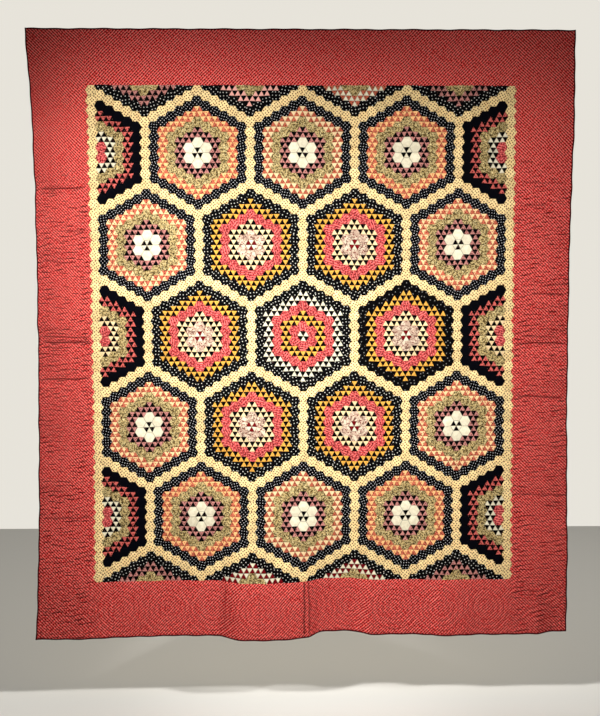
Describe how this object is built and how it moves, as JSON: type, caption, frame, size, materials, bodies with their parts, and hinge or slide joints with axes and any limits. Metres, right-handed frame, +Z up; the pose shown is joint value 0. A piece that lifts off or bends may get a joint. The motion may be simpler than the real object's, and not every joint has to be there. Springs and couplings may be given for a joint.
{
  "type": "hexagon quilt",
  "caption": "Large hand-pieced quilt of small cotton hexagons set in rings, with a wide calico border and a narrow binding, hanging flat by its top edge",
  "frame": {"origin": "middle of the top edge of the quilt, on its front face, where it is held to the wall", "axes": "+X to the right across the front, +Y towards the wall behind the quilt, +Z up; the patchwork front faces -Y"},
  "size_m": [2.4046, 0.0812, 2.7],
  "materials": {
    "patchwork": "printed and plain cotton patches, matt, softly puffed by quilting",
    "border_calico": "red printed calico with small dark flecks, matt, quilted",
    "binding": "plain dark red cotton tape, matt"
  },
  "bodies": {
    "root": {"centre_panel": "patchwork", "border_left": "border_calico", "border_right": "border_calico", "border_top": "border_calico", "border_bottom": "border_calico", "border_bottom_end": "border_calico", "binding_left": "binding", "binding_right": "binding", "binding_top": "binding", "binding_bottom": "binding"}
  },
  "joints": []
}
